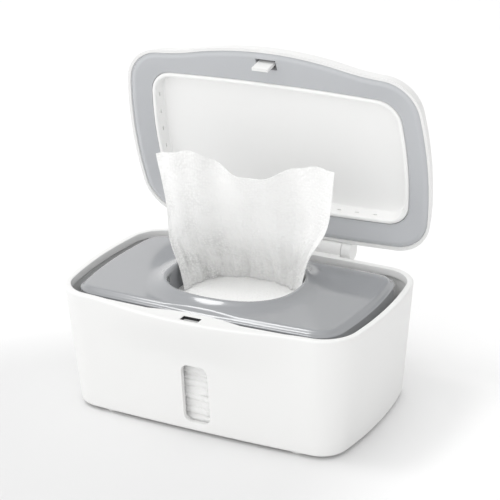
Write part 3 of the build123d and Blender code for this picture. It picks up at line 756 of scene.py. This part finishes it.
def paneMaterial():
    # clear acrylic: the wipes show through it, with a pale sheen at a slant
    m = bpy.data.materials.new("clearAcrylic")
    m.use_nodes = True
    tree = m.node_tree
    tree.nodes.clear()
    place = addNode(tree, "ShaderNodeTexCoord")
    haze = addNode(tree, "ShaderNodeTexNoise", {}, {"Vector": place.outputs["Object"]}, {"Scale": 120.0})
    rough = addNode(tree, "ShaderNodeMapRange", {}, {"Value": haze.outputs["Fac"]},
                    {"To Min": 0.03, "To Max": 0.09})
    facing = addNode(tree, "ShaderNodeLayerWeight", {}, {}, {"Blend": 0.5})
    fifth = addNode(tree, "ShaderNodeMath", {"operation": "POWER"}, {0: facing.outputs["Facing"]}, {1: 5.0})
    slant = addNode(tree, "ShaderNodeMapRange", {}, {"Value": fifth.outputs[0]}, {"To Min": 0.04})
    clear = addNode(tree, "ShaderNodeBsdfTransparent", {}, {}, {"Color": (1, 1, 1, 1)})
    sheen = addNode(tree, "ShaderNodeBsdfGlossy", {}, {"Roughness": rough.outputs[0]},
                    {"Color": (1, 1, 1, 1)})
    seen = addNode(tree, "ShaderNodeLightPath")
    share = addNode(tree, "ShaderNodeMath", {"operation": "MULTIPLY"},
                    {0: slant.outputs[0], 1: seen.outputs["Is Camera Ray"]})
    both = addNode(tree, "ShaderNodeMixShader", {},
                   {0: share.outputs[0], 1: clear.outputs[0], 2: sheen.outputs[0]})
    addNode(tree, "ShaderNodeOutputMaterial", {}, {"Surface": both.outputs[0]})
    return m


def clothMaterial(name, colour, coordinate, strength, shade):
    # nonwoven cloth: pressed dots over loose fibres, strongest low down where the wipe is gathered, with
    # painted shade in the hollows, darker by the given shade and most of all on the left
    m, tree, shader = newMaterial(name, colour, 0.85)
    shader.inputs["Sheen Weight"].default_value = 0.25
    place = addNode(tree, "ShaderNodeTexCoord")
    where = place.outputs[coordinate]
    dots = addNode(tree, "ShaderNodeTexVoronoi", {"feature": "F1"}, {"Vector": where},
                   {"Scale": 480.0, "Randomness": 0.6})
    stretch = addNode(tree, "ShaderNodeMapping", {}, {"Vector": where}, {"Scale": (1.0, 0.3, 1.0)})
    fibres = addNode(tree, "ShaderNodeTexNoise", {}, {"Vector": stretch.outputs[0]},
                     {"Scale": 1500.0, "Detail": 4.0, "Distortion": 1.2})
    both = addNode(tree, "ShaderNodeMath", {"operation": "MULTIPLY_ADD"},
                   {0: fibres.outputs["Fac"], 2: dots.outputs["Distance"]}, {1: 0.8})
    split = addNode(tree, "ShaderNodeSeparateXYZ", {}, {"Vector": place.outputs["Object"]})
    low = addNode(tree, "ShaderNodeMapRange", {}, {"Value": split.outputs["Z"]},
                  {"From Min": 0.075, "From Max": 0.115, "To Min": strength, "To Max": strength * 0.35})
    left = addNode(tree, "ShaderNodeMapRange", {}, {"Value": split.outputs["X"]},
                   {"From Min": -0.045, "From Max": -0.005, "To Min": shade * 3.0, "To Max": shade})
    # painted shade sits in the dots' hollows, more low down, in patches and on the left
    hollowShade = addNode(tree, "ShaderNodeMapRange", {"interpolation_type": "SMOOTHSTEP"},
                     {"Value": dots.outputs["Distance"]}, {"From Min": 0.25, "From Max": 0.75})
    patch = addNode(tree, "ShaderNodeTexNoise", {}, {"Vector": where}, {"Scale": 45.0})
    patchy = addNode(tree, "ShaderNodeMapRange", {}, {"Value": patch.outputs["Fac"]},
                     {"From Min": 0.4, "From Max": 0.62})
    paintedShade = hollowShade
    for part in (low, patchy, left):
        paintedShade = addNode(tree, "ShaderNodeMath", {"operation": "MULTIPLY"},
                       {0: paintedShade.outputs[0], 1: part.outputs[0]})
    # the painted shade mixes the cloth's colour towards a grey
    shadeTint = addNode(tree, "ShaderNodeMix", {"data_type": "RGBA"}, {0: paintedShade.outputs[0]},
                   {6: hexColour(colour), 7: hexColour("#BDBDBB")})
    tree.links.new(shadeTint.outputs[2], shader.inputs["Base Color"])
    bump = addNode(tree, "ShaderNodeBump", {}, {"Height": both.outputs[0], "Strength": low.outputs[0]},
                   {"Distance": 0.001})
    tree.links.new(bump.outputs["Normal"], shader.inputs["Normal"])
    return m


def steelMaterial():
    m, tree, shader = newMaterial("drawnSteel", "#A0A0A2", 0.35)
    shader.inputs["Metallic"].default_value = 1.0
    addGrain(tree, shader, 900.0, 0.00004, 0.35, 0.1)
    return m


looks = {
    # satin shell with a soft, level sheen
    "white_plastic": plasticMaterial("whiteAbs", "#EEEEED", 0.42),
    # duller inner panel, whose paler tone is partly its own and partly painted light that brightens the
    # shaded recess
    "liner_plastic": plasticMaterial("linerPolypropylene", "#FAFAF9", 0.5),
    # polished weighted plate, which mirrors the lamp along its collar
    "grey_plastic": plasticMaterial("greyAbs", "#929497", 0.2, 900.0, 0.00001, 0.02, 1.0),
    # smooth seal face, a tone paler than the plate
    "grey_rubber": plasticMaterial("greySealRubber", "#C3C5C8", 0.3, 1200.0, 0.00001, 0.01),
    # clear pane that the wipes show through
    "clear_plastic": paneMaterial(),
    # dull pads
    "foot_rubber": plasticMaterial("softFoot", "#E4E4E2", 0.7, 2500.0, 0.00006),
    # bare pins, springs, screws and weights
    "steel": steelMaterial(),
    # edges of the folded wipes
    "wipe_cloth": clothMaterial("nonwovenFolded", "#FBFBFA", "Object", 0.4, 0.0),
}
# the pulled-up wipe, whose dots show most, with painted shade in their hollows
pulledCloth = clothMaterial("nonwoven", "#FBFBFA", "UV", 1.0, 0.22)
for sub in frame["record"]["subparts"]:
    o = frame["nodes"][sub["node"]]
    o.data.materials.clear()
    o.data.materials.append(looks[sub["material_slot"]])

standFor(tubShell, "base_tub", "tub", looks["white_plastic"])
paintPocketShade(tubShell, plasticMaterial("paintedPocketShade", "#3A3A3B", 0.4))  # painted shade: so deep a pocket reads nearly black
standFor(plateSkin, "plate_cover", "plate", looks["grey_plastic"])
standFor(lidSkin, "lid_shell", "lid", looks["white_plastic"])
standFor(lidSeal, "lid_gasket", "lid", looks["grey_rubber"])
standFor(lidPanel, "lid_liner", "lid", looks["liner_plastic"])
standFor(foldedWipes, "wipe_stack", "tub", looks["wipe_cloth"])
standFor(topWipe, "top_wipe", "plate", pulledCloth)
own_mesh(foldedWipes)
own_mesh(topWipe)
print("materials and pieces in place")

# floor, camera and light

board = {
    "half": 4.0,  # metres
    "shift": (0.06, 0.13, 0),  # the middle of the painted shadow lies this far left and in front of the origin, metres
    "near": 0.13, "far": 0.25, "level": 0.77,  # painted shadow: this grey up to the near radius, white from the far one on
}


def floorMaterial():
    # pale matt board with a painted shadow, greyer in front of the tub
    m, tree, shader = newMaterial("paleFloorPaintedShadow", "#FFFFFF", 0.7)
    place = addNode(tree, "ShaderNodeTexCoord")
    shifted = addNode(tree, "ShaderNodeMapping", {}, {"Vector": place.outputs["Object"]},
                      {"Location": board["shift"]})
    away = addNode(tree, "ShaderNodeVectorMath", {"operation": "LENGTH"}, {0: shifted.outputs[0]})
    level = addNode(tree, "ShaderNodeMapRange", {"interpolation_type": "SMOOTHSTEP"},
                    {"Value": away.outputs["Value"]},
                    {"From Min": board["near"], "From Max": board["far"], "To Min": board["level"]})
    colour = addNode(tree, "ShaderNodeCombineColor", {},
                     {k: level.outputs[0] for k in ("Red", "Green", "Blue")})
    tree.links.new(colour.outputs[0], shader.inputs["Base Color"])
    return m


def makeFloor():
    mesh = bpy.data.meshes.new("floor")
    h = board["half"]
    mesh.from_pydata([(-h, -h, 0), (h, -h, 0), (h, h, 0), (-h, h, 0)], [], [(0, 1, 2, 3)])
    mesh.materials.append(floorMaterial())
    o = bpy.data.objects.new("floor", mesh)
    bpy.context.scene.collection.objects.link(o)
    return o


floor = makeFloor()

camera = {
    "place": (515.23, -928.39 - originBack, 550.88),  # mm
    "azimuth": 28.58, "elevation": 22.81, "roll": -1.80,  # degrees
    "lens": 129.6, "sensor": 36.0,  # mm
}


def makeCamera(c):
    az, el, roll = np.radians([c["azimuth"], c["elevation"], c["roll"]])
    ahead = np.array([-np.sin(az) * np.cos(el), np.cos(az) * np.cos(el), -np.sin(el)])
    level = np.array([np.cos(az), np.sin(az), 0.0])
    up = np.cross(level, ahead)
    right = np.cos(roll) * level + np.sin(roll) * up
    top = -np.sin(roll) * level + np.cos(roll) * up
    data = bpy.data.cameras.new("photoCamera")
    data.lens = c["lens"]
    data.sensor_width = c["sensor"]
    data.clip_end = 10
    o = bpy.data.objects.new("photoCamera", data)
    bpy.context.scene.collection.objects.link(o)
    m = np.eye(4)
    m[:3, 0], m[:3, 1], m[:3, 2] = right, top, -ahead
    m[:3, 3] = np.array(c["place"]) / 1000
    o.matrix_world = Matrix(m.tolist())
    bpy.context.scene.camera = o


def turnTo(back, place):
    # frame at place whose third axis points along back
    back = np.array(back, float) / np.linalg.norm(back)
    side = np.cross([0, 0, 1], back)
    side /= np.linalg.norm(side)
    m = np.eye(4)
    m[:3, 0], m[:3, 1], m[:3, 2], m[:3, 3] = side, np.cross(back, side), back, place
    return Matrix(m.tolist())


lights = {
    "left": 0.89, "right": 0.61,  # strength of the backdrop as a light, from each side
    "sunFrom": (-0.12, -0.75, 0.7), "sunStrength": 0.92, "sunSpread": 100,  # degrees wide, for soft shadows
    # the lamp that draws the bright streak on the plate's collar, in metres and watts
    "lampAt": (-0.6, -0.2, 1.42), "lampTo": (0, 0, 0.08), "lampSize": 0.48, "lampWatts": 4,
}


def makeLamp(name, place, target, size, watts):
    data = bpy.data.lights.new(name, "AREA")
    data.shape = "DISK"
    data.size = size
    data.energy = watts
    o = bpy.data.objects.new(name, data)
    bpy.context.scene.collection.objects.link(o)
    o.matrix_world = turnTo(np.subtract(place, target), place)


def makeSun(name, toward, strength, spread):
    data = bpy.data.lights.new(name, "SUN")
    data.energy = strength
    data.angle = np.radians(spread)
    o = bpy.data.objects.new(name, data)
    bpy.context.scene.collection.objects.link(o)
    o.matrix_world = turnTo(toward, (0, 0, 2))


def makeWorld(left, right):
    # the backdrop is white to the camera and in reflections, and dimmer as a light, most of all on the right
    world = bpy.data.worlds.new("softStudio")
    bpy.context.scene.world = world
    world.use_nodes = True
    tree = world.node_tree
    tree.nodes.clear()
    seen = addNode(tree, "ShaderNodeLightPath")
    either = addNode(tree, "ShaderNodeMath", {"operation": "MAXIMUM"},
                     {0: seen.outputs["Is Camera Ray"], 1: seen.outputs["Is Transmission Ray"]})
    either = addNode(tree, "ShaderNodeMath", {"operation": "MAXIMUM"},
                     {0: either.outputs[0], 1: seen.outputs["Is Glossy Ray"]})
    way = addNode(tree, "ShaderNodeTexCoord")
    part = addNode(tree, "ShaderNodeSeparateXYZ", {}, {"Vector": way.outputs["Generated"]})
    level = addNode(tree, "ShaderNodeMapRange", {}, {"Value": part.outputs["X"]},
                    {"From Min": -1.0, "To Min": left, "To Max": right})
    strength = addNode(tree, "ShaderNodeMapRange", {},
                       {"Value": either.outputs[0], "To Min": level.outputs[0]}, {"To Max": 1.0})
    light = addNode(tree, "ShaderNodeBackground", {}, {"Strength": strength.outputs[0]},
                    {"Color": (1, 1, 1, 1)})
    addNode(tree, "ShaderNodeOutputWorld", {}, {"Surface": light.outputs[0]})


makeCamera(camera)
makeWorld(lights["left"], lights["right"])
makeSun("key", lights["sunFrom"], lights["sunStrength"], lights["sunSpread"])
makeLamp("streak", lights["lampAt"], lights["lampTo"], lights["lampSize"], lights["lampWatts"])
print("floor, camera and lights in place")
bpy.context.scene.view_settings.view_transform = "Standard"
